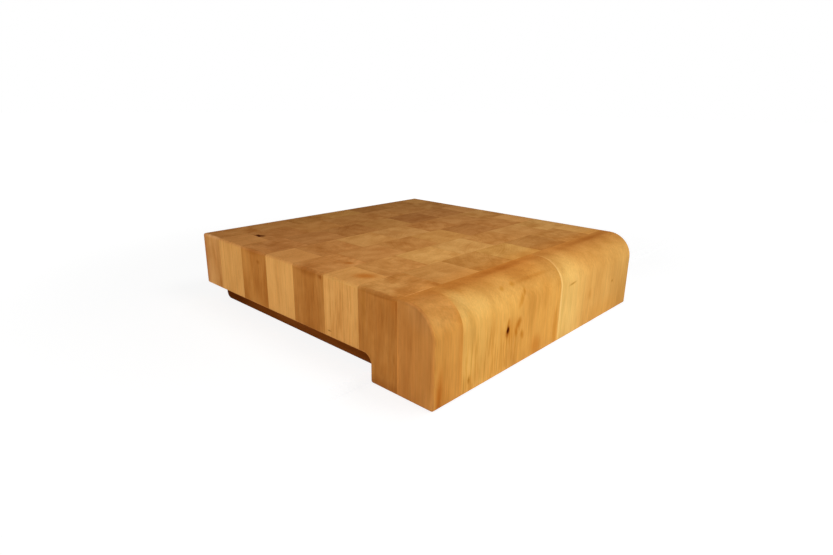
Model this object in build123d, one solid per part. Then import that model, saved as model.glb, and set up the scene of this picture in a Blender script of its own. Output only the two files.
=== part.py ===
"""Chopping block whose rounded front lip hooks over the edge of a worktop.

Blocks of wood stand on end, so that the top is all end grain. They are glued up in rows that run
along X, and every second row is turned end for end, so that the joints between blocks are staggered.
The two front rows are taller than the rest and form the lip. Two runners lie under the block,
behind the lip, and screws in slots let the wood above them swell and shrink.

Millimetres, +Z up. The origin is under the middle of the block, level with the foot of the lip.
The lip is on the -Y side, and the back of the block on the +Y side.
"""

import os

from build123d import *

# The glue-up, seen from above: staves along X make a row, and rows along Y make the block
stave_width = 67.5
full_staves = 6
end_stave_width = 45.0
front_row_depth = 49.0
row_depth = 59.0
full_rows = 6
back_row_depth = 47.0

# Boards of the front row: a narrow one on the left and a wide one beside it, and a third takes the rest
front_left_board_width = 45.0
front_middle_board_width = 197.0

# Height of the block over the runners, and how far the lip hangs below it
block_height = 75.0
lip_drop = 32.0
lip_depth = 90.0
front_round = 35.0

# Cove in the corner behind the lip
lip_cove = 11.0

# Eased edges of the finished block
edge_ease = 3.0
back_corner_round = 4.0

# Runners under the block
runner_thickness = 18.0
runner_width = 40.0
runner_side_inset = 12.0
runner_back_inset = 34.0
runner_end_round = 9.0
runner_ease = 1.0
runner_toe_clearance = 1.0

# Pan-head wood screws through the runners, and the washers under their heads
screw_shank_diameter = 5.0
screw_head_diameter = 9.6
screw_head_height = 3.2
screw_head_round = 2.0
screw_length = 38.0
screw_point_length = 7.0
screw_point_diameter = 0.8
screw_socket_width = 3.6
screw_socket_sides = 6
screw_socket_depth = 2.0
screw_end_distance = 45.0
washer_diameter = 12.0
washer_thickness = 1.0

# Holes and slots for the screws
hole_clearance = 0.25
pilot_clearance = 0.05
pilot_extra_depth = 0.5
slot_travel = 6.0
recess_depth = 7.0
recess_clearance = 1.0

# How far a cut runs past the face that it opens
overrun = 5.0

# Overall sizes that follow from the glue-up
block_width = full_staves * stave_width + end_stave_width
block_depth = front_row_depth + full_rows * row_depth + back_row_depth
lip_height = block_height + lip_drop
left, right = -block_width / 2, block_width / 2
front, back = -block_depth / 2, block_depth / 2
lip_back = front + lip_depth

# Places of the runners and their screws
runner_foot = lip_drop - runner_thickness
runner_toe_round = lip_cove + runner_toe_clearance
runner_back = back - runner_back_inset
runner_middle_x = right - runner_side_inset - runner_width / 2
washer_seat = runner_foot + recess_depth
screw_seat = washer_seat - washer_thickness
screw_ys = [lip_back + screw_end_distance, (lip_back + runner_back) / 2, runner_back - screw_end_distance]
screw_slot_travels = [0, slot_travel, slot_travel]


def span_box(x0, x1, y0, y1, z0, z1):
    """A box between two corners."""
    middle = Pos((x0 + x1) / 2, (y0 + y1) / 2, (z0 + z1) / 2)
    return middle * Box(x1 - x0, y1 - y0, z1 - z0)


def upright_rod(radius, z0, z1):
    """A round rod on the Z axis between two heights."""
    return Pos(0, 0, (z0 + z1) / 2) * Cylinder(radius, z1 - z0)


def upright_slot(radius, travel, z0, z1):
    """A rod's sweep along Y by the travel, or the rod alone where there is no travel."""
    slot = upright_rod(radius, z0, z1)
    if travel > 0:
        ends = [Pos(0, end * travel / 2, 0) * upright_rod(radius, z0, z1) for end in (-1, 1)]
        slot = ends[0] + ends[1] + span_box(-radius, radius, -travel / 2, travel / 2, z0, z1)
    return slot


def screw_places():
    """The foot of each screw's axis on the underside of the block, with its slot's travel."""
    return [
        (Pos(side * runner_middle_x, y, 0), travel)
        for side in (-1, 1)
        for y, travel in zip(screw_ys, screw_slot_travels)
    ]


def finished_block():
    """The whole block after the glue-up was rounded, rebated and sanded, with the screws' pilot holes."""
    block = span_box(left, right, front, back, 0, lip_height)
    block -= span_box(left - overrun, right + overrun, lip_back, back + overrun, -overrun, lip_drop)
    block = fillet([edge for edge in block.edges() if edge.is_interior], lip_cove)
    block = fillet(block.edges().filter_by(Axis.X).group_by(Axis.Y)[0].sort_by(Axis.Z)[-1], front_round)
    block = fillet(block.edges().filter_by(Axis.Z).group_by(Axis.Y)[-1], back_corner_round)
    block = fillet([edge for edge in block.edges() if not edge.is_interior], edge_ease)
    pilot_radius = screw_shank_diameter / 2 + pilot_clearance
    pilot = upright_rod(pilot_radius, lip_drop - overrun, screw_seat + screw_length + pilot_extra_depth)
    for place, _ in screw_places():
        block -= place * pilot
    return block


def row_spans():
    """Where each row starts and ends along Y, from the front row to the back row."""
    depths = [front_row_depth] + [row_depth] * full_rows + [back_row_depth]
    starts = [front + sum(depths[:row]) for row in range(len(depths))]
    return [(start, start + depth) for start, depth in zip(starts, depths)]


def stave_spans(row):
    """Where each piece of a row starts and ends along X. Odd rows of blocks start with the trimmed stave."""
    if row == 1:
        rest = block_width - front_left_board_width - front_middle_board_width
        widths = [front_left_board_width, front_middle_board_width, rest]
    else:
        widths = [end_stave_width] + [stave_width] * full_staves
    if row % 2 == 0:
        widths = widths[::-1]
    starts = [left + sum(widths[:stave]) for stave in range(len(widths))]
    return [(start, start + width) for start, width in zip(starts, widths)]


def wooden_pieces():
    """Every board and block of the glue-up: the finished block, cut along its glue lines."""
    block = finished_block()
    rows = row_spans()
    pieces = {}
    for row, (y0, y1) in enumerate(rows, start=1):
        kind = "front_board" if row == 1 else f"row_{row}_block"
        staves = stave_spans(row)
        for stave, (x0, x1) in enumerate(staves, start=1):
            cell = span_box(
                x0 - overrun if stave == 1 else x0,
                x1 + overrun if stave == len(staves) else x1,
                y0 - overrun if row == 1 else y0,
                y1 + overrun if row == len(rows) else y1,
                -overrun,
                lip_height + overrun,
            )
            pieces[f"{kind}_{stave}"] = block & cell
    return pieces


def runner(side):
    """One runner, -1 on the left or 1 on the right, with a slotted hole and a recess for each screw."""
    middle = side * runner_middle_x
    bar = span_box(
        middle - runner_width / 2, middle + runner_width / 2, lip_back, runner_back, runner_foot, lip_drop
    )
    heel = bar.edges().filter_by(Axis.X).group_by(Axis.Z)[0].sort_by(Axis.Y)[-1]
    bar = fillet(heel, runner_end_round)
    toe = bar.edges().filter_by(Axis.X).group_by(Axis.Z)[-1].sort_by(Axis.Y)[0]
    bar = fillet(toe, runner_toe_round)
    foot_edges = bar.edges().filter_by(Axis.Y).group_by(Axis.Z)[0]
    bar = fillet(foot_edges, runner_ease)
    hole_radius = screw_shank_diameter / 2 + hole_clearance
    recess_radius = washer_diameter / 2 + recess_clearance
    for y, travel in zip(screw_ys, screw_slot_travels):
        place = Pos(middle, y, 0)
        bar -= place * upright_slot(hole_radius, travel, runner_foot - overrun, lip_drop + overrun)
        bar -= place * upright_slot(recess_radius, travel, runner_foot - overrun, washer_seat)
    return bar


def screw():
    """A pan-head wood screw on the Z axis, point up, with the bearing face of its head at its seat."""
    head = upright_rod(screw_head_diameter / 2, screw_seat - screw_head_height, screw_seat)
    head = fillet(head.edges().group_by(Axis.Z)[0], screw_head_round)
    socket_outline = RegularPolygon(screw_socket_width / 2, screw_socket_sides)
    socket = extrude(Pos(0, 0, screw_seat - screw_head_height) * socket_outline, amount=screw_socket_depth)
    point_start = screw_seat + screw_length - screw_point_length
    shank = upright_rod(screw_shank_diameter / 2, screw_seat, point_start)
    point = Pos(0, 0, point_start + screw_point_length / 2) * Cone(
        screw_shank_diameter / 2, screw_point_diameter / 2, screw_point_length
    )
    return head - socket + shank + point


def washer():
    """A plain washer on the Z axis, under the screw's head."""
    outside = upright_rod(washer_diameter / 2, screw_seat, washer_seat)
    hole = upright_rod(screw_shank_diameter / 2 + hole_clearance, screw_seat - overrun, washer_seat + overrun)
    return outside - hole


def fasteners(one):
    """A group of copies, one at each screw's place."""
    return Compound(children=[place * one for place, _ in screw_places()])


def main():
    pieces = wooden_pieces()
    pieces["left_runner"] = runner(-1)
    pieces["right_runner"] = runner(1)
    pieces["runner_screws"] = fasteners(screw())
    pieces["runner_washers"] = fasteners(washer())
    os.makedirs("parts", exist_ok=True)
    for name, piece in pieces.items():
        export_step(piece, f"parts/{name}.step")
    print(len(pieces), "pieces,", block_width, "x", block_depth, "x", lip_height, "mm")


main()
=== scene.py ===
import math

import bmesh
import bpy
from mathutils import Euler, Matrix, Vector


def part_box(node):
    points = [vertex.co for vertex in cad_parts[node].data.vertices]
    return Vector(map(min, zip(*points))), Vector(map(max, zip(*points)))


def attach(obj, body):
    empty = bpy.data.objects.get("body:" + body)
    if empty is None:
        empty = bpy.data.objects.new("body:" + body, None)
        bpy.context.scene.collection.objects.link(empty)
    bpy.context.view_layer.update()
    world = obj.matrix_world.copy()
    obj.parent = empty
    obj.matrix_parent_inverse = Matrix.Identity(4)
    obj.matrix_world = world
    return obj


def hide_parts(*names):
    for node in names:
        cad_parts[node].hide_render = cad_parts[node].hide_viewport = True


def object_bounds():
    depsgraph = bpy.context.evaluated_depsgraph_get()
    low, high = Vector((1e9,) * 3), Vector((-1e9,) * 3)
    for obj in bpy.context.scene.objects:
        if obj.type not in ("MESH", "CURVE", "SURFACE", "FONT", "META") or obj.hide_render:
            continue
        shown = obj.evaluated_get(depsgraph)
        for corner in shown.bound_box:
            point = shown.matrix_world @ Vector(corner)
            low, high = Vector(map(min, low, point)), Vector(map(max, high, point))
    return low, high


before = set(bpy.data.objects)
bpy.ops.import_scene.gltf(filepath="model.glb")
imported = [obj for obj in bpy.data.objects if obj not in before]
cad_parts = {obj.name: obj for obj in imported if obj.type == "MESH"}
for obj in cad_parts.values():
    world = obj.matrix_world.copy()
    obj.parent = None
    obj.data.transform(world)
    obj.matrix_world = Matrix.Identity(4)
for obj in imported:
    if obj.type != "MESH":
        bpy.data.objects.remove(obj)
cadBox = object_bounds()
lowest, highest = cadBox
leftSide, frontFace, top = lowest.x, lowest.y, highest.z
print("frame loaded:", len(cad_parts), "nodes")

scene = bpy.context.scene
scene.view_settings.view_transform = "Standard"

samePlace = 0.0005  # metres: two places nearer than this count as one
smoothAngle = math.radians(30)  # edges flatter than this are shaded smooth

# camera, fitted to the block's edges

photoView = {
    "place": (-0.5851, -0.5364, 0.2918),  # metres, in the block's frame
    "turn": -47.09,  # degrees from looking straight at the lip
    "tilt": 17.64,  # degrees down from level
    "roll": 0.747,
    "lens": 23.765,  # millimetres, as the sensor is
    "sensor": 36.0,
    "nearest": 0.01,
}


def addCamera():
    data = bpy.data.cameras.new("photoCamera")
    data.sensor_width = photoView["sensor"]
    data.lens = photoView["lens"]
    data.clip_start = photoView["nearest"]
    camera = bpy.data.objects.new("photoCamera", data)
    scene.collection.objects.link(camera)
    aim = Euler((math.radians(90 - photoView["tilt"]), 0, math.radians(photoView["turn"]))).to_matrix()
    aim = aim @ Matrix.Rotation(math.radians(photoView["roll"]), 3, "Z")
    camera.rotation_euler = aim.to_euler()
    camera.location = photoView["place"]
    scene.camera = camera


addCamera()
print("camera set")

# short ways to add nodes


def newMaterial(name):
    material = bpy.data.materials.new(name)
    material.use_nodes = True
    tree = material.node_tree
    tree.nodes.clear()
    return material, tree


def add(tree, kind, feeds=None, **settings):
    made = tree.nodes.new("ShaderNode" + kind)
    for key, value in settings.items():
        setattr(made, key, value)
    for key, value in (feeds or {}).items():
        if isinstance(value, bpy.types.NodeSocket):
            tree.links.new(value, made.inputs[key])
        else:
            made.inputs[key].default_value = value
    return made


def maths(tree, operation, *values):
    return add(tree, "Math", dict(enumerate(values)), operation=operation).outputs[0]


def vectors(tree, operation, *values):
    made = add(tree, "VectorMath", dict(enumerate(values)), operation=operation)
    return made.outputs["Value" if operation == "LENGTH" else "Vector"]


def remap(tree, value, low, high, to=(0.0, 1.0), smooth=False):
    feeds = {"Value": value, "From Min": low, "From Max": high, "To Min": to[0], "To Max": to[1]}
    kind = "SMOOTHSTEP" if smooth else "LINEAR"
    return add(tree, "MapRange", feeds, interpolation_type=kind).outputs["Result"]


def blendColours(tree, amount, first, second, how="MIX"):
    made = add(tree, "Mix", {"Factor": amount}, data_type="RGBA", blend_type=how)
    for socket, value in (("A_Color", first), ("B_Color", second)):
        target = next(s for s in made.inputs if s.identifier == socket)
        if isinstance(value, bpy.types.NodeSocket):
            tree.links.new(value, target)
        else:
            target.default_value = (*value, 1.0)
    return next(s for s in made.outputs if s.identifier == "Result_Color")


def tinted(tree, colour, tint, *shares):
    amount = 1.0
    for share in shares:
        amount = maths(tree, "MULTIPLY", amount, share)
    return blendColours(tree, amount, colour, tint, "MULTIPLY")


def noise(tree, point, look, output="Fac"):
    scaled = vectors(tree, "MULTIPLY", point, look["stretch"])
    roughness = look.get("roughness", 0.5)
    feeds = {"Vector": scaled, "Scale": 1.0, "Detail": look["detail"], "Roughness": roughness}
    return add(tree, "TexNoise", feeds).outputs[output]


def softNoise(tree, point, look, to=(0.0, 1.0)):
    # noise in patches with soft edges
    return remap(tree, noise(tree, point, look), *look["range"], to, smooth=True)


def wander(tree, point, look):
    # a small shift that changes slowly from place to place
    centred = vectors(tree, "SUBTRACT", noise(tree, point, look, output="Color"), (0.5, 0.5, 0.5))
    return vectors(tree, "MULTIPLY", centred, (look["reach"], look["reach"], 0))


# light and stage

studio = {
    "worldStrength": 0.13,
    "worldColour": (1.0, 0.985, 0.96),
    "softBoxes": {  # place, what it faces, width and power
        "frontBox": ((0.04, -0.67, 0.22), (0.0, -0.20, 0.07), 0.36, 1.60),
        "topBox": ((0.02, -0.24, 0.62), (0.0, -0.17, 0.10), 0.30, 1.70),
        "leftBox": ((-1.70, -0.20, 0.42), (0.0, 0.0, 0.05), 0.90, 13.0),
        "backBox": ((1.45, 1.50, 0.45), (0.0, 0.0, 0.05), 0.90, 7.2),
    },
    "floorReach": 12.0,
    "floorColour": (0.8, 0.8, 0.8),
    "floorLit": 0.25,  # the share of the floor's look that takes the light and the shadow
    "floorGlow": (0.86, 1.0),  # the rest, near the block and far off
    "glowReach": (0.30, 1.10),
    "stepRound": 0.012,  # the worktop's front edge
    "stepSegments": 8,
    "gap": 0.0003,  # keeps the floor just clear of the wood
}


def seenDirectly(tree):
    path = add(tree, "LightPath")
    seen = maths(tree, "MAXIMUM", path.outputs["Is Camera Ray"], path.outputs["Is Glossy Ray"])
    return maths(tree, "MAXIMUM", seen, path.outputs["Is Transmission Ray"])


def lightWorld():
    world = bpy.data.worlds.new("studioWorld")
    scene.world = world
    world.use_nodes = True
    tree = world.node_tree
    tree.nodes.clear()
    softFeeds = {"Color": (*studio["worldColour"], 1), "Strength": studio["worldStrength"]}
    soft = add(tree, "Background", softFeeds)
    white = add(tree, "Background", {"Color": (1, 1, 1, 1), "Strength": 1.0})
    chosen = add(tree, "MixShader", {0: seenDirectly(tree), 1: soft.outputs[0], 2: white.outputs[0]})
    add(tree, "OutputWorld", {"Surface": chosen.outputs[0]})


def addSoftBoxes():
    for name, (place, aim, width, power) in studio["softBoxes"].items():
        data = bpy.data.lights.new(name, "AREA")
        data.size = width
        data.energy = power
        lamp = bpy.data.objects.new(name, data)
        scene.collection.objects.link(lamp)
        lamp.location = place
        lamp.rotation_euler = (Vector(place) - Vector(aim)).to_track_quat("Z", "Y").to_euler()
        lamp.visible_camera = False


def floorMaterial():
    material, tree = newMaterial("paleFloor")
    lit = studio["floorLit"]
    pale = add(tree, "BsdfDiffuse", {"Color": (*studio["floorColour"], 1)})
    seenPale = add(tree, "BsdfDiffuse", {"Color": (lit, lit, lit, 1)})
    away = vectors(tree, "LENGTH", add(tree, "TexCoord").outputs["Object"])
    glow = remap(tree, away, *studio["glowReach"], studio["floorGlow"], smooth=True)
    seenGlow = add(tree, "Emission", {"Color": (1, 1, 1, 1), "Strength": glow})
    seen = add(tree, "AddShader", {0: seenPale.outputs[0], 1: seenGlow.outputs[0]})
    chosen = add(tree, "MixShader", {0: seenDirectly(tree), 1: pale.outputs[0], 2: seen.outputs[0]})
    add(tree, "OutputMaterial", {"Surface": chosen.outputs[0]})
    return material


def addFloor():
    # a worktop under the runners, with a lower floor in front for the lip
    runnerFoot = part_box("left_runner")[0].z
    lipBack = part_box("left_runner")[0].y
    bpy.ops.object.select_all(action="DESELECT")
    bpy.ops.mesh.primitive_plane_add(size=2 * studio["floorReach"], location=(0, 0, -studio["gap"]))
    floor = bpy.context.object
    floor.name = "floor"
    bpy.ops.object.transform_apply(location=True, rotation=True, scale=True)
    bpy.ops.object.mode_set(mode="EDIT")
    bpy.ops.mesh.select_all(action="SELECT")
    bpy.ops.mesh.bisect(plane_co=(0, lipBack + studio["gap"], 0), plane_no=(0, 1, 0))
    mesh = bmesh.from_edit_mesh(floor.data)
    for face in mesh.faces:
        face.select_set(face.calc_center_median().y > lipBack)
    bmesh.update_edit_mesh(floor.data)
    bpy.ops.mesh.extrude_region_move(TRANSFORM_OT_translate={"value": (0, 0, runnerFoot)})
    mesh = bmesh.from_edit_mesh(floor.data)
    for edge in mesh.edges:
        ends = [end.co for end in edge.verts]
        edge.select_set(all(abs(end.y - lipBack) < samePlace and end.z > runnerFoot / 2 for end in ends))
    bmesh.update_edit_mesh(floor.data)
    bpy.ops.mesh.bevel(offset=studio["stepRound"], segments=studio["stepSegments"], affect="EDGES")
    bpy.ops.object.mode_set(mode="OBJECT")
    bpy.ops.object.shade_smooth_by_angle(angle=smoothAngle)
    floor.data.materials.append(floorMaterial())


lightWorld()
addSoftBoxes()
addFloor()
print("stage lit")

# how wood looks, on the block and on the runners

grain = {
    # noise: how fine it is across and along the grain, its detail, and the range that it fades in over,
    # or how far in metres it bends the wood
    "slowBend": {"stretch": (9, 9, 4), "detail": 1.5, "reach": 0.012},
    "fineBend": {"stretch": (70, 70, 14), "detail": 2.0, "reach": 0.0012},
    "fade": {"stretch": (30, 30, 16), "detail": 2.0, "range": (0.36, 0.62)},
    # bands: by years, by the turn round the pith, and along the grain
    "bands": {"stretch": (0.25, 5.0, 9.0), "detail": 3.0, "roughness": 0.55, "range": (0.36, 0.68)},
    "clouds": {"stretch": (30, 30, 14), "detail": 3.0, "roughness": 0.55, "range": (0.36, 0.66)},
    "lines": {"stretch": (380, 380, 22), "detail": 2.5, "roughness": 0.6, "range": (0.54, 0.70)},
    "fibre": {"stretch": (420, 420, 18), "detail": 4.0, "roughness": 0.65, "range": (0.3, 0.7)},
    "pores": {"stretch": (1900, 1900, 60), "detail": 2.0, "range": (0.62, 0.74)},
    "ragged": {"stretch": (160, 160, 70), "detail": 3.0, "reach": 0.004},  # the edges of marks
    "core": 0.1,  # the share of a mark, from its middle, that has its full tint
    "uneven": {"pace": 0.4, "years": 1.6},  # some years are wider than others
    "yearEdge": ((0.55, 0.12), (0.84, 0.8), (0.93, 1.0)),  # how dark each part of a year is
    "yearTones": (0.25, 1.0),  # the faintest year and the darkest
    "ringTint": (0.80, 0.67, 0.50),  # the dark edge of a year
    "bandTint": (0.82, 0.725, 0.615),  # several dark years together
    "cloudTint": (0.84, 0.755, 0.655),
    "lineTint": (0.86, 0.78, 0.69),  # fine lines up the sides
    "poreTint": (0.60, 0.50, 0.40),
    "poreShare": 0.35,
    "fibreTones": (0.91, 1.09),
    "sidesEnd": 0.25,  # the fine lines are gone where this much end grain shows
    "endsStart": 0.4,  # from here on, rings show as on an end
    "glueWidth": 0.0005,
    "glueTint": (0.74, 0.65, 0.55),
    "glueShare": 0.7,
    "roughness": (0.62, 0.80),
    "bump": 0.0002,
    "bumpStrength": 0.6,
    "ringHeight": 0.5,
}
plainLook = {  # what a plank shows unless it says otherwise
    "even": 0.15,  # the least that a ring shows where it fades
    "endPower": 0.5,  # how late the end grain shows on a round: above 1 is late
    "endRings": 1.0,  # how much the rings show on the ends
}


def spreadFrom(tree, point, spot):
    # 0 in the middle of a spot, and 1 at its edge
    lean = (0, math.radians(spot.get("lean", 0)), math.radians(spot.get("turn", 0)))
    feeds = {"Vector": point, "Location": spot["at"], "Rotation": lean, "Scale": spot["reach"]}
    inside = add(tree, "Mapping", feeds, vector_type="TEXTURE").outputs[0]
    return vectors(tree, "LENGTH", inside)


def softSpot(tree, point, spot):
    # 1 in the core of a spot, and 0 at its edge
    core = spot.get("core", grain["core"])
    return remap(tree, spreadFrom(tree, point, spot), 1.0, core, smooth=True)


def growthRings(tree, place, local, plank):
    bent = vectors(tree, "ADD", local, wander(tree, local, grain["slowBend"]))
    bent = vectors(tree, "ADD", bent, wander(tree, local, grain["fineBend"]))
    fromPith = add(tree, "SeparateXYZ", {"Vector": vectors(tree, "SUBTRACT", bent, (*plank["pith"], 0))})
    across = add(tree, "CombineXYZ", {"X": fromPith.outputs["X"], "Y": fromPith.outputs["Y"]}).outputs[0]
    years = maths(tree, "DIVIDE", vectors(tree, "LENGTH", across), plank["ring"])
    pace = maths(tree, "MULTIPLY", years, grain["uneven"]["pace"])
    uneven = add(tree, "TexNoise", {"W": pace}, noise_dimensions="1D").outputs["Fac"]
    years = maths(tree, "ADD", years, maths(tree, "MULTIPLY", uneven, grain["uneven"]["years"]))

    # the years bulge round a knot, so the lines close up into eyes
    for knot in plank.get("knots", ()):
        spread = spreadFrom(tree, place, knot)
        fall = maths(tree, "MULTIPLY", maths(tree, "MULTIPLY", spread, spread), -1.0)
        bulge = maths(tree, "MULTIPLY", maths(tree, "EXPONENT", fall), knot["years"])
        years = maths(tree, "ADD", years, bulge)

    # pale spring wood, then a darker line at the end of each year, not equally dark and not everywhere
    ramp = add(tree, "ValToRGB", {"Fac": maths(tree, "FRACT", years)})
    stops = ramp.color_ramp.elements
    stops[0].color = (0.0, 0.0, 0.0, 1)
    stops[1].color = (0.0, 0.0, 0.0, 1)
    for position, level in grain["yearEdge"]:
        stops.new(position).color = (level, level, level, 1)
    yearTone = add(tree, "TexWhiteNoise", {"W": maths(tree, "FLOOR", years)}, noise_dimensions="1D")
    strength = remap(tree, yearTone.outputs["Value"], 0.0, 1.0, grain["yearTones"])
    fade = softNoise(tree, local, grain["fade"], (plank["even"], 1.0))
    rings = maths(tree, "MULTIPLY", maths(tree, "MULTIPLY", ramp.outputs["Color"], strength), fade)

    # bands of several years, which follow the rings and fade in and out along the grain
    turn = maths(tree, "ARCTAN2", fromPith.outputs["Y"], fromPith.outputs["X"])
    alongRing = add(tree, "CombineXYZ", {"X": years, "Y": turn, "Z": fromPith.outputs["Z"]}).outputs[0]
    bands = softNoise(tree, alongRing, grain["bands"])
    return bent, rings, bands


def fineLines(tree, place, local, plank):
    look = grain["lines"] | {"range": plank.get("lineRange", grain["lines"]["range"])}
    lines = softNoise(tree, local, look)
    if "linesAt" in plank:
        lines = maths(tree, "MULTIPLY", lines, softSpot(tree, place, plank["linesAt"]))
    return lines


def endGrainShare(tree, axis, power):
    # 0 where the fibres lie in the surface, 1 where they are cut square
    facing = add(tree, "SeparateXYZ", {"Vector": add(tree, "NewGeometry").outputs["Normal"]}).outputs[axis]
    angle = maths(tree, "ARCSINE", maths(tree, "MINIMUM", maths(tree, "ABSOLUTE", facing), 1.0))
    return maths(tree, "POWER", maths(tree, "DIVIDE", angle, math.pi / 2), power)


def glueLines(tree, place, joints):
    side = add(tree, "SeparateXYZ", {"Vector": place})
    nearest = 1.0  # a metre, further than any joint
    for axis, limit, sign in joints:
        inward = maths(tree, "MULTIPLY", maths(tree, "SUBTRACT", side.outputs[axis], limit), sign)
        nearest = maths(tree, "MINIMUM", inward, nearest)
    return remap(tree, nearest, grain["glueWidth"], 0.0, (0.0, grain["glueShare"]), smooth=True)


def markAt(at, reach, tint, **more):
    # a mark's middle and its reach each way in metres, and the tint that it gives the wood
    return {"at": at, "reach": reach, "tint": tint} | more


def addMarks(tree, place, colour, marks):
    # stains, streaks and pale patches, and also painted shade and painted highlights: soft, ragged spots
    # in the colour
    if not marks:
        return colour
    ragged = vectors(tree, "ADD", place, wander(tree, place, grain["ragged"]))
    for mark in marks:
        amount = softSpot(tree, place if mark.get("crisp") else ragged, mark)
        colour = blendColours(tree, amount, colour, mark["tint"], mark.get("how", "MULTIPLY"))
    return colour


def woodMaterial(name, plank, middle, turn, slide, joints=(), marks=(), along="Z", endLook="end"):
    plank = plainLook | plank
    material, tree = newMaterial(name)
    place = add(tree, "TexCoord").outputs["Object"]
    centred = vectors(tree, "SUBTRACT", place, middle)
    feeds = {"Vector": centred, "Location": (0, 0, slide), "Rotation": turn}
    local = add(tree, "Mapping", feeds).outputs[0]
    end = endGrainShare(tree, along, plank["endPower"])
    onSides = remap(tree, end, 0.0, grain["sidesEnd"], (1.0, 0.0))
    onEnds = remap(tree, end, 0.0, grain["endsStart"], (1.0, plank["endRings"]))

    # fibres and pores run with the grain, so they show as streaks on the sides and dots on the ends
    bent, rings, bands = growthRings(tree, place, local, plank)
    clouds = softNoise(tree, bent, grain["clouds"])
    lines = fineLines(tree, place, local, plank)
    fibre = noise(tree, local, grain["fibre"])
    pores = remap(tree, noise(tree, local, grain["pores"]), *grain["pores"]["range"])

    colour = blendColours(tree, end, plank["side"], plank[endLook])
    colour = tinted(tree, colour, grain["ringTint"], rings, plank["rings"], onEnds)
    colour = tinted(tree, colour, grain["bandTint"], bands, plank["figure"])
    colour = tinted(tree, colour, grain["cloudTint"], clouds, plank["figure"])
    colour = tinted(tree, colour, plank.get("lineTint", grain["lineTint"]), lines, plank["lines"], onSides)
    colour = tinted(tree, colour, grain["poreTint"], pores, grain["poreShare"])
    colour = tinted(tree, colour, remap(tree, fibre, *grain["fibre"]["range"], grain["fibreTones"]))
    colour = addMarks(tree, place, colour, marks)
    if joints:
        colour = tinted(tree, colour, grain["glueTint"], glueLines(tree, place, joints))

    height = maths(tree, "ADD", maths(tree, "MULTIPLY", rings, grain["ringHeight"]), fibre)
    height = maths(tree, "SUBTRACT", height, pores)
    bumpFeeds = {"Height": height, "Distance": grain["bump"], "Strength": grain["bumpStrength"]}
    bump = add(tree, "Bump", bumpFeeds).outputs[0]
    rough = remap(tree, fibre, *grain["fibre"]["range"], grain["roughness"])
    shader = add(tree, "BsdfPrincipled", {"Base Color": colour, "Roughness": rough, "Normal": bump})
    shader.inputs["Specular IOR Level"].default_value = 0.0  # an oil finish gone dull, with no gloss
    add(tree, "OutputMaterial", {"Surface": shader.outputs[0]})
    return material


def dress(piece, material):
    piece.data.materials.clear()
    piece.data.materials.append(material)


# shaping by hand, for the two pieces with a knot

hollow = {"subdivisions": 3, "outwards": 0.7, "smoothing": 0.5}  # how a hollow's cutter is roughened


def startBox(name, low, high):
    bpy.ops.object.select_all(action="DESELECT")
    bpy.ops.mesh.primitive_cube_add(size=1, location=(low + high) / 2, scale=high - low)
    piece = bpy.context.object
    piece.name = name
    piece.data.name = name
    bpy.ops.object.transform_apply(location=True, rotation=True, scale=True)
    return piece


def roundEdge(piece, y, z, width, steps):
    # the edge along X at that place
    bpy.ops.object.mode_set(mode="EDIT")
    bpy.ops.mesh.select_mode(type="EDGE")
    bpy.ops.mesh.select_all(action="DESELECT")
    mesh = bmesh.from_edit_mesh(piece.data)
    for edge in mesh.edges:
        edge.select_set(all(abs(end.co.y - y) + abs(end.co.z - z) < samePlace for end in edge.verts))
    bmesh.update_edit_mesh(piece.data)
    bpy.ops.mesh.bevel(offset=width, segments=steps, affect="EDGES")
    bpy.ops.object.mode_set(mode="OBJECT")


def carvePit(piece, pit):
    # a ragged hollow where the dead heart of the knot has dried out
    bpy.ops.object.select_all(action="DESELECT")
    lean = (0, math.radians(pit["lean"]), math.radians(pit["turn"]))
    bpy.ops.mesh.primitive_ico_sphere_add(
        subdivisions=hollow["subdivisions"], radius=1, location=pit["at"], rotation=lean
    )
    cutter = bpy.context.object
    cutter.scale = pit["reach"]
    bpy.ops.object.transform_apply(location=True, rotation=True, scale=True)
    bpy.ops.object.mode_set(mode="EDIT")
    bpy.ops.mesh.select_all(action="SELECT")
    bpy.ops.transform.vertex_random(offset=pit["ragged"], normal=hollow["outwards"], seed=pit["seed"])
    bpy.ops.mesh.vertices_smooth(factor=hollow["smoothing"], repeat=1)
    bpy.ops.object.mode_set(mode="OBJECT")
    bpy.context.view_layer.objects.active = piece
    carve = piece.modifiers.new("pit", "BOOLEAN")
    carve.operation = "DIFFERENCE"
    carve.solver = "EXACT"
    carve.object = cutter
    bpy.ops.object.modifier_apply(modifier=carve.name)
    bpy.data.objects.remove(cutter)


def finishWood(piece, node):
    # soft shading on the round, flat on the flats
    bpy.ops.object.select_all(action="DESELECT")
    piece.select_set(True)
    bpy.context.view_layer.objects.active = piece
    bpy.ops.object.shade_smooth_by_angle(angle=smoothAngle)
    even = piece.modifiers.new("evenShading", "WEIGHTED_NORMAL")
    even.keep_sharp = True
    bpy.ops.object.modifier_apply(modifier=even.name)
    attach(piece, "root")
    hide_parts(node)


# front boards: their own wood, with the knot, the streaks and a painted highlight on the end's edge

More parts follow.
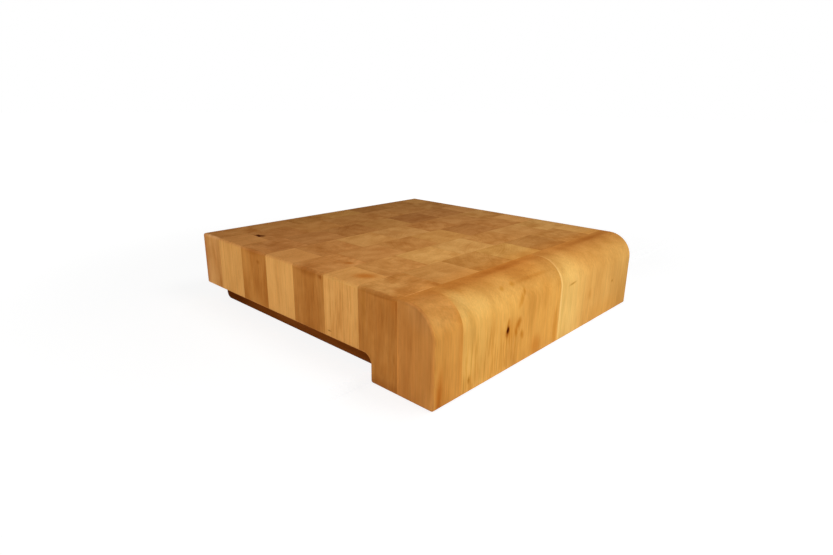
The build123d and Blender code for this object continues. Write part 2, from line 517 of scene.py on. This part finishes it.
frontBoards = {
    "front_board_1": {
        "side": (0.76, 0.355, 0.076),
        "end": (0.66, 0.262, 0.054),
        "pith": (0.050, 0.110),
        "slide": 0.7,  # where along its tree the board was cut
        "endPower": 2.0,
        "ring": 0.0030,
        "rings": 0.2,
        "lines": 0.15,
        "figure": 0.6,
        "marks": [
            markAt((-0.2155, frontFace, 0.012), (0.0075, 0.02, 0.042), (0.78, 0.55, 0.36), lean=4),
            markAt((-0.1820, -0.222, 0.055), (0.0080, 0.03, 0.070), (0.93, 0.85, 0.76)),
            markAt((leftSide, -0.200, 0.050), (0.004, 0.06, 0.120), (0.83, 0.75, 0.82), core=0.7),
            markAt((-0.2050, -0.208, 0.100), (0.040, 0.03, 0.030), (0.97, 1.04, 1.24), core=0.4),
            markAt((leftSide, -0.183, 0.050), (0.004, 0.020, 0.085), (0.92, 0.87, 0.83), core=0.4),
            markAt((leftSide, -0.1772, 0.050), (0.02, 0.0016, 0.070), (1.2, 1.2, 1.16), core=0.3),
            markAt(  # a painted highlight along the end's edge with the front and the round-over
                (-0.2233, -0.215, 0.070),
                (0.0017, 0.05, 0.080),
                (1.16, 1.18, 1.15),
                core=0.5,
                crisp=True,
            ),
        ],
    },
    "front_board_2": {
        "side": (0.86, 0.47, 0.114),
        "end": (0.62, 0.24, 0.046),
        "pith": (0.100, 0.160),
        "slide": 1.4,
        "ring": 0.0032,
        "rings": 0.12,
        "lines": 0.75,
        "lineTint": (0.82, 0.68, 0.47),
        "lineRange": (0.47, 0.62),
        "linesAt": {"at": (-0.130, frontFace, 0.020), "reach": (0.080, 0.05, 0.062), "core": 0.5},
        "figure": 0.6,
        "endRings": 0.1,
        "endPower": 2.0,
        "knots": [
            {"at": (-0.0990, frontFace, 0.0508), "reach": (0.008, 0.030, 0.013), "years": 5.0},
            {"at": (-0.0750, frontFace, 0.0470), "reach": (0.009, 0.030, 0.012), "years": 5.0},
        ],
        "marks": [
            # tones of the face, of the round-over and of the strip of top behind it
            markAt((-0.0400, frontFace, 0.0400), (0.085, 0.05, 0.095), (0.86, 0.80, 0.73), core=0.4),
            markAt((-0.0800, -0.212, 0.0970), (0.200, 0.03, 0.032), (0.90, 0.92, 0.98)),
            markAt((-0.1450, -0.212, 0.0950), (0.040, 0.03, 0.025), (1.04, 1.10, 1.18)),
            markAt((-0.0450, -0.205, 0.1000), (0.060, 0.02, 0.020), (0.88, 0.79, 0.68)),
            markAt((-0.0700, -0.185, top), (0.080, 0.010, 0.02), (0.84, 0.74, 0.64)),
            markAt((-0.1550, frontFace, 0.0500), (0.045, 0.03, 0.060), (1.02, 1.07, 1.12)),
            markAt((-0.0920, frontFace, 0.0480), (0.024, 0.02, 0.020), (0.95, 0.89, 0.76)),
            # streaks and specks
            markAt((-0.0777, frontFace, 0.0530), (0.0068, 0.02, 0.0120), (0.77, 0.56, 0.32), lean=34),
            markAt((-0.0815, frontFace, 0.0430), (0.0050, 0.02, 0.0090), (0.78, 0.59, 0.34), lean=-16),
            markAt((-0.0690, frontFace, 0.0370), (0.0050, 0.02, 0.0090), (0.80, 0.62, 0.38), lean=-20),
            markAt((-0.0720, -0.223, 0.0800), (0.0055, 0.02, 0.0150), (0.86, 0.73, 0.52), lean=38),
            markAt((-0.0640, -0.221, 0.0875), (0.0036, 0.02, 0.0065), (0.80, 0.64, 0.42), lean=20),
            markAt((-0.0795, -0.2133, 0.0981), (0.0070, 0.006, 0.0050), (0.86, 0.74, 0.52)),
            markAt((-0.1000, -0.2140, 0.0975), (0.0060, 0.006, 0.0045), (0.84, 0.72, 0.50)),
            markAt((-0.0360, frontFace, 0.0120), (0.0160, 0.02, 0.0210), (0.89, 0.74, 0.60), lean=-10),
            markAt((0.0090, frontFace, 0.0200), (0.0070, 0.02, 0.0400), (0.90, 0.80, 0.66), core=0.4),
            markAt((-0.0350, -0.2136, 0.0978), (0.062, 0.0042, 0.0042), (0.90, 0.82, 0.70)),
            markAt((0.0100, -0.205, 0.0960), (0.034, 0.040, 0.036), (0.82, 0.80, 0.79), core=0.3),
            markAt((-0.1720, -0.205, 0.0960), (0.016, 0.040, 0.036), (1.06, 1.20, 1.40)),
            markAt((-0.1681, frontFace, 0.0150), (0.0026, 0.01, 0.0070), (0.66, 0.50, 0.27)),
            # the knot, in its shade
            markAt((-0.0985, frontFace, 0.0590), (0.0036, 0.02, 0.0090), (0.80, 0.62, 0.40), lean=8),
            markAt((-0.0992, frontFace, 0.0490), (0.0058, 0.02, 0.0110), (0.66, 0.42, 0.22), lean=8),
            markAt(
                (-0.0990, frontFace, 0.0507),
                (0.0037, 0.02, 0.0058),
                (0.115, 0.014, 0.001),
                core=0.35,
                how="MIX",
                lean=10,
            ),
        ],
        "roundOver": 0.035,
        "roundSteps": 18,
        "footEase": 0.003,
        "easeSteps": 5,
        "pit": {
            "at": (-0.0991, -0.2252, 0.0503),
            "reach": (0.0014, 0.0026, 0.0034),
            "lean": 10,
            "turn": 0,
            "ragged": 0.0011,
            "seed": 4,
        },
    },
    "front_board_3": {
        "side": (0.76, 0.415, 0.112),
        "end": (0.58, 0.235, 0.050),
        "pith": (0.100, 0.160),
        "slide": 2.1,
        "ring": 0.0036,
        "rings": 0.2,
        "lines": 0.15,
        "figure": 0.5,
        "endRings": 0.1,
        "endPower": 2.0,
        "marks": [
            markAt((0.0280, -0.215, 0.0450), (0.065, 0.06, 0.12), (1.08, 1.25, 1.40), core=0.25),
            markAt((0.1300, -0.210, 0.0980), (0.150, 0.03, 0.032), (0.90, 0.87, 0.83)),
            markAt((0.0185, -0.205, 0.0450), (0.0034, 0.06, 0.12), (1.12, 1.22, 1.42), core=0.4),
            markAt((0.1450, -0.186, top), (0.085, 0.010, 0.02), (0.84, 0.75, 0.66)),
            markAt((0.0470, frontFace, 0.0720), (0.014, 0.01, 0.0023), (0.70, 0.56, 0.37), lean=-6),
            markAt((0.1690, frontFace, 0.0480), (0.0042, 0.01, 0.0030), (0.72, 0.57, 0.37)),
            markAt((0.1005, frontFace, 0.0435), (0.0070, 0.02, 0.0120), (0.92, 0.84, 0.72)),
            markAt((0.1500, frontFace, 0.0080), (0.0800, 0.02, 0.0260), (1.0, 0.96, 0.88)),
            markAt((0.0240, -0.205, 0.0960), (0.030, 0.040, 0.036), (0.91, 0.88, 0.84), core=0.3),
        ],
    },
}


def frontBoardWood(name):
    board = frontBoards[name]
    low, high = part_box(name)
    middle = (low + high) / 2
    return woodMaterial(name + "_wood", board, middle, (0, 0, 0), board["slide"], marks=board["marks"])


def knottyFrontBoard():
    board = frontBoards["front_board_2"]
    low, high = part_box("front_board_2")
    piece = startBox("knotty_front_board", low, high)
    roundEdge(piece, low.y, high.z, board["roundOver"], board["roundSteps"])
    roundEdge(piece, low.y, low.z, board["footEase"], board["easeSteps"])
    carvePit(piece, board["pit"])
    finishWood(piece, "front_board_2")
    return piece


for boardName in frontBoards:
    board = knottyFrontBoard() if "pit" in frontBoards[boardName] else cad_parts[boardName]
    dress(board, frontBoardWood(boardName))
print("front boards done")

# the blocks of the other rows

planks = [  # one for each stave across a row, from the narrow one: linear colours of the pale wood, metres
    {
        "side": (0.86, 0.435, 0.124),
        "end": (0.80, 0.365, 0.106),
        "endTurned": (0.74, 0.36, 0.110),  # the fibres lean, so a turned slice looks another tone
        "pith": (0.012, -0.190),  # from the middle of each slice
        "ring": 0.0044,
        "rings": 0.6,  # how much the rings, the fine lines, and the bands and clouds show
        "lines": 0.5,
        "figure": 0.35,
        "even": 0.5,
    },
    {
        "side": (0.68, 0.31, 0.082),
        "end": (0.70, 0.310, 0.090),
        "endTurned": (0.64, 0.295, 0.088),
        "pith": (0.080, 0.022),
        "ring": 0.0031,
        "rings": 0.6,
        "lines": 0.5,
        "figure": 0.8,
    },
    {
        "side": (0.78, 0.38, 0.105),
        "end": (0.76, 0.375, 0.114),
        "endTurned": (0.55, 0.240, 0.068),
        "pith": (-0.030, 0.120),
        "ring": 0.0034,
        "rings": 0.6,
        "lines": 0.6,
        "figure": 0.6,
    },
    {
        "side": (0.74, 0.35, 0.096),
        "end": (0.71, 0.350, 0.108),
        "endTurned": (0.68, 0.330, 0.092),
        "pith": (0.050, -0.100),
        "ring": 0.0035,
        "rings": 0.6,
        "lines": 0.6,
        "figure": 0.6,
    },
    {
        "side": (0.69, 0.32, 0.084),
        "end": (0.64, 0.290, 0.086),
        "endTurned": (0.64, 0.290, 0.080),
        "pith": (-0.080, 0.065),
        "ring": 0.0029,
        "rings": 0.6,
        "lines": 0.5,
        "figure": 0.8,
    },
    {
        "side": (0.74, 0.35, 0.096),
        "end": (0.64, 0.295, 0.090),
        "endTurned": (0.70, 0.320, 0.094),
        "pith": (0.020, 0.150),
        "ring": 0.0036,
        "rings": 0.6,
        "lines": 0.6,
        "figure": 0.6,
    },
    {
        "side": (0.61, 0.260, 0.060),
        "end": (0.70, 0.350, 0.110),
        "endTurned": (0.77, 0.350, 0.104),
        "pith": (-0.090, -0.016),
        "ring": 0.0052,
        "rings": 0.7,
        "lines": 0.5,
        "figure": 1.0,
    },
]
slices = {
    "rowSlide": 0.09,  # metres along a plank, from one row's slice to the next
    "staveSlide": 1.3,  # sets the planks apart
}
blockLooks = {  # where a slice differs from the rest of its plank
    "row_3_block_1": {"lines": 0.9, "lineRange": (0.47, 0.64)},
    "row_5_block_1": {"rings": 0.35, "lines": 0.35},
}
blockMarks = {  # what only one block shows
    "row_2_block_1": [
        markAt((leftSide, -0.150, 0.050), (0.02, 0.060, 0.120), (1.06, 1.10, 1.15), core=0.9),
        # darker along the top-left edge: painted shade
        markAt((-0.2245, -0.147, 0.1058), (0.005, 0.034, 0.005), (0.80, 0.70, 0.60), core=0.4),
        markAt((leftSide, -0.147, 0.070), (0.02, 0.012, 0.060), (0.97, 0.94, 0.92)),
        markAt((leftSide, -0.164, 0.085), (0.02, 0.010, 0.040), (0.88, 0.84, 0.80)),
        markAt((leftSide, -0.126, 0.090), (0.02, 0.006, 0.050), (0.86, 0.80, 0.66)),
        # darker along the foot of the left face: painted shade
        markAt((leftSide, -0.156, 0.003), (0.02, 0.060, 0.012), (0.80, 0.72, 0.66)),
        markAt((-0.2000, -0.1752, top), (0.034, 0.0012, 0.01), (1.20, 1.32, 1.5), core=0.3),
    ],
    "row_3_block_1": [
        markAt((-0.1960, -0.0965, top), (0.021, 0.0150, 0.02), (0.84, 0.62, 0.38), turn=-62),
        markAt((leftSide, -0.0664, 0.0406), (0.02, 0.005, 0.0012), (0.45, 0.34, 0.22)),
    ],
    "row_4_block_1": [
        markAt((-0.1753, -0.0444, top), (0.011, 0.0075, 0.02), (0.82, 0.63, 0.41), turn=-62),
        markAt((leftSide, -0.0522, 0.1020), (0.02, 0.005, 0.004), (0.74, 0.60, 0.46)),
        # darker along the top-left edge: painted shade
        markAt((-0.2245, -0.028, 0.1055), (0.005, 0.034, 0.010), (0.81, 0.72, 0.62), core=0.3),
    ],
    "row_6_block_1": [
        markAt((leftSide, 0.089, 0.070), (0.02, 0.060, 0.100), (1.08, 1.08, 1.05), core=0.9),
        markAt((leftSide, 0.086, 0.064), (0.02, 0.014, 0.040), (0.84, 0.76, 0.68)),
        markAt((leftSide, 0.0786, 0.0928), (0.02, 0.006, 0.004), (0.80, 0.68, 0.54)),
        # darker along the top-left edge: painted shade
        markAt((-0.2245, 0.090, 0.1055), (0.005, 0.034, 0.008), (0.88, 0.81, 0.74), core=0.3),
    ],
    "row_8_block_1": [
        markAt((leftSide, 0.205, 0.070), (0.005, 0.12, 0.12), (1.36, 1.60, 2.25), core=0.6),
        markAt((leftSide, 0.221, 0.060), (0.010, 0.012, 0.08), (0.93, 0.86, 1.0)),
        markAt((leftSide, 0.184, 0.040), (0.010, 0.006, 0.02), (0.86, 0.76, 0.62)),
    ],
    "row_7_block_2": [  # the knot, in its shade
        markAt((-0.1775, 0.153, top), (0.015, 0.015, 0.02), (0.80, 0.66, 0.54)),
        markAt((-0.1745, 0.150, top), (0.0075, 0.0085, 0.02), (0.16, 0.050, 0.010), how="MIX"),
        markAt(
            (-0.1792, 0.153, top),
            (0.0060, 0.0120, 0.02),
            (0.085, 0.012, 0.002),
            turn=-33,
            core=0.45,
            how="MIX",
        ),
    ],
    "row_7_block_3": [markAt((-0.079, 0.150, top), (0.08, 0.08, 0.02), (0.93, 0.87, 0.80), core=0.8)],
    "row_7_block_4": [markAt((-0.011, 0.150, top), (0.08, 0.08, 0.02), (0.91, 0.85, 0.78), core=0.8)],
    "row_7_block_5": [markAt((0.056, 0.150, top), (0.08, 0.08, 0.02), (1.06, 1.10, 1.10), core=0.8)],
    "row_7_block_6": [markAt((0.124, 0.150, top), (0.08, 0.08, 0.02), (1.06, 1.10, 1.10), core=0.8)],
}
rowMarks = {  # tones of whole rows, on the top
    2: [
        markAt((0, -0.140, top), (1.0, 0.08, 0.004), (0.98, 1.04, 1.0), core=0.7),
        markAt((0, -0.176, top), (1.0, 0.028, 0.03), (1.0, 0.91, 0.78)),
    ],
    3: [markAt((0, -0.0875, top), (1.0, 0.08, 0.004), (1.02, 1.08, 1.06), core=0.7)],
    6: [markAt((0, 0.0895, top), (1.0, 0.08, 0.004), (0.94, 0.91, 0.94), core=0.7)],
    7: [markAt((0, 0.1485, top), (1.0, 0.08, 0.004), (0.98, 0.96, 0.98), core=0.7)],
}
topKnot = [  # two hollows that run together
    {
        "at": (-0.1793, 0.1530, 0.1073),
        "reach": (0.0036, 0.0080, 0.0034),
        "lean": 0,
        "turn": -33,
        "ragged": 0.0008,
        "seed": 9,
    },
    {
        "at": (-0.1750, 0.1502, 0.1075),
        "reach": (0.0020, 0.0032, 0.0020),
        "lean": 0,
        "turn": 20,
        "ragged": 0.0006,
        "seed": 3,
    },
]


def jointsOf(low, high):
    # the glued sides that show a line, as axis, place and inward sign: all but the front boards' backs
    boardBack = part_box("front_board_1")[1].y
    hidden = {"X": (lowest.x, highest.x), "Y": (lowest.y, highest.y, boardBack)}
    sides = [("X", low.x, 1.0), ("X", high.x, -1.0), ("Y", low.y, 1.0), ("Y", high.y, -1.0)]
    return [side for side in sides if all(abs(side[1] - limit) > samePlace for limit in hidden[side[0]])]


def blockWood(name):
    _, row, _, stave = name.split("_")
    row, stave = int(row), int(stave)
    flipped = row % 2 == 0  # every second row is turned end for end
    plank = (planks[-stave] if flipped else planks[stave - 1]) | blockLooks.get(name, {})
    low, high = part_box(name)
    return woodMaterial(
        name + "_wood",
        plank,
        (low + high) / 2,
        (0, 0, math.pi if flipped else 0),
        slices["rowSlide"] * row + slices["staveSlide"] * stave,
        jointsOf(low, high),
        blockMarks.get(name, []) + rowMarks.get(row, []),
        endLook="endTurned" if flipped else "end",
    )


def knottyBlock():
    piece = startBox("knotty_block", *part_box("row_7_block_2"))
    for pit in topKnot:
        carvePit(piece, pit)
    finishWood(piece, "row_7_block_2")
    return piece


for nodeName in [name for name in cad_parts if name.startswith("row_")]:
    block = knottyBlock() if nodeName == "row_7_block_2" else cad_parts[nodeName]
    dress(block, blockWood(nodeName))
print("blocks done")

# runners: dark hardwood with the grain lengthwise

runnerPlank = {
    "side": (0.21, 0.060, 0.010),
    "end": (0.16, 0.045, 0.008),
    "pith": (0.015, 0.060),
    "slideShare": 2.0,  # of its place along X, so that the two runners differ
    "ring": 0.0026,
    "rings": 0.9,
    "lines": 0.8,
    "figure": 0.8,
    # darker toward the far end: painted shade, as under the back of the block
    "marks": [markAt((0, 0.180, 0.020), (1.0, 0.070, 0.05), (0.62, 0.52, 0.42), core=0.3)],
}


def runnerWood(name):
    low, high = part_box(name)
    lengthwise = (math.pi / 2, 0, 0)
    return woodMaterial(
        name + "_wood",
        runnerPlank,
        (low + high) / 2,
        lengthwise,
        runnerPlank["slideShare"] * low.x,
        marks=runnerPlank["marks"],
        along="Y",
    )


for runnerName in ("left_runner", "right_runner"):
    dress(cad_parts[runnerName], runnerWood(runnerName))
print("runners dressed")

# zinc-plated screws and washers

zinc = {
    "pale": (0.66, 0.67, 0.66),
    "dull": (0.46, 0.47, 0.47),
    "bloom": {  # the mottled crystals of the plating
        "stretch": (420, 420, 420),
        "detail": 4.0,
        "roughness": 0.6,
        "range": (0.35, 0.65),
    },
    "turned": {"stretch": (900, 900, 9000), "detail": 2.0},  # fine marks round the turned sides
    "roughRange": (0.7, 1.3),  # of the two together
    "roughness": (0.28, 0.50),
    "bump": 0.00005,
    "bumpStrength": 0.5,
}


def zincMaterial():
    material, tree = newMaterial("zincPlate")
    place = add(tree, "TexCoord").outputs["Object"]
    bloom = noise(tree, place, zinc["bloom"])
    turned = noise(tree, place, zinc["turned"])
    colour = blendColours(tree, remap(tree, bloom, *zinc["bloom"]["range"]), zinc["dull"], zinc["pale"])
    rough = remap(tree, maths(tree, "ADD", bloom, turned), *zinc["roughRange"], zinc["roughness"])
    bumpFeeds = {"Height": turned, "Distance": zinc["bump"], "Strength": zinc["bumpStrength"]}
    bump = add(tree, "Bump", bumpFeeds).outputs[0]
    shader = add(tree, "BsdfPrincipled", {"Base Color": colour, "Roughness": rough, "Normal": bump})
    shader.inputs["Metallic"].default_value = 1.0
    add(tree, "OutputMaterial", {"Surface": shader.outputs[0]})
    return material


zincPlate = zincMaterial()
for fastenerName in ("runner_screws", "runner_washers"):
    dress(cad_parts[fastenerName], zincPlate)
print("screws and washers dressed")
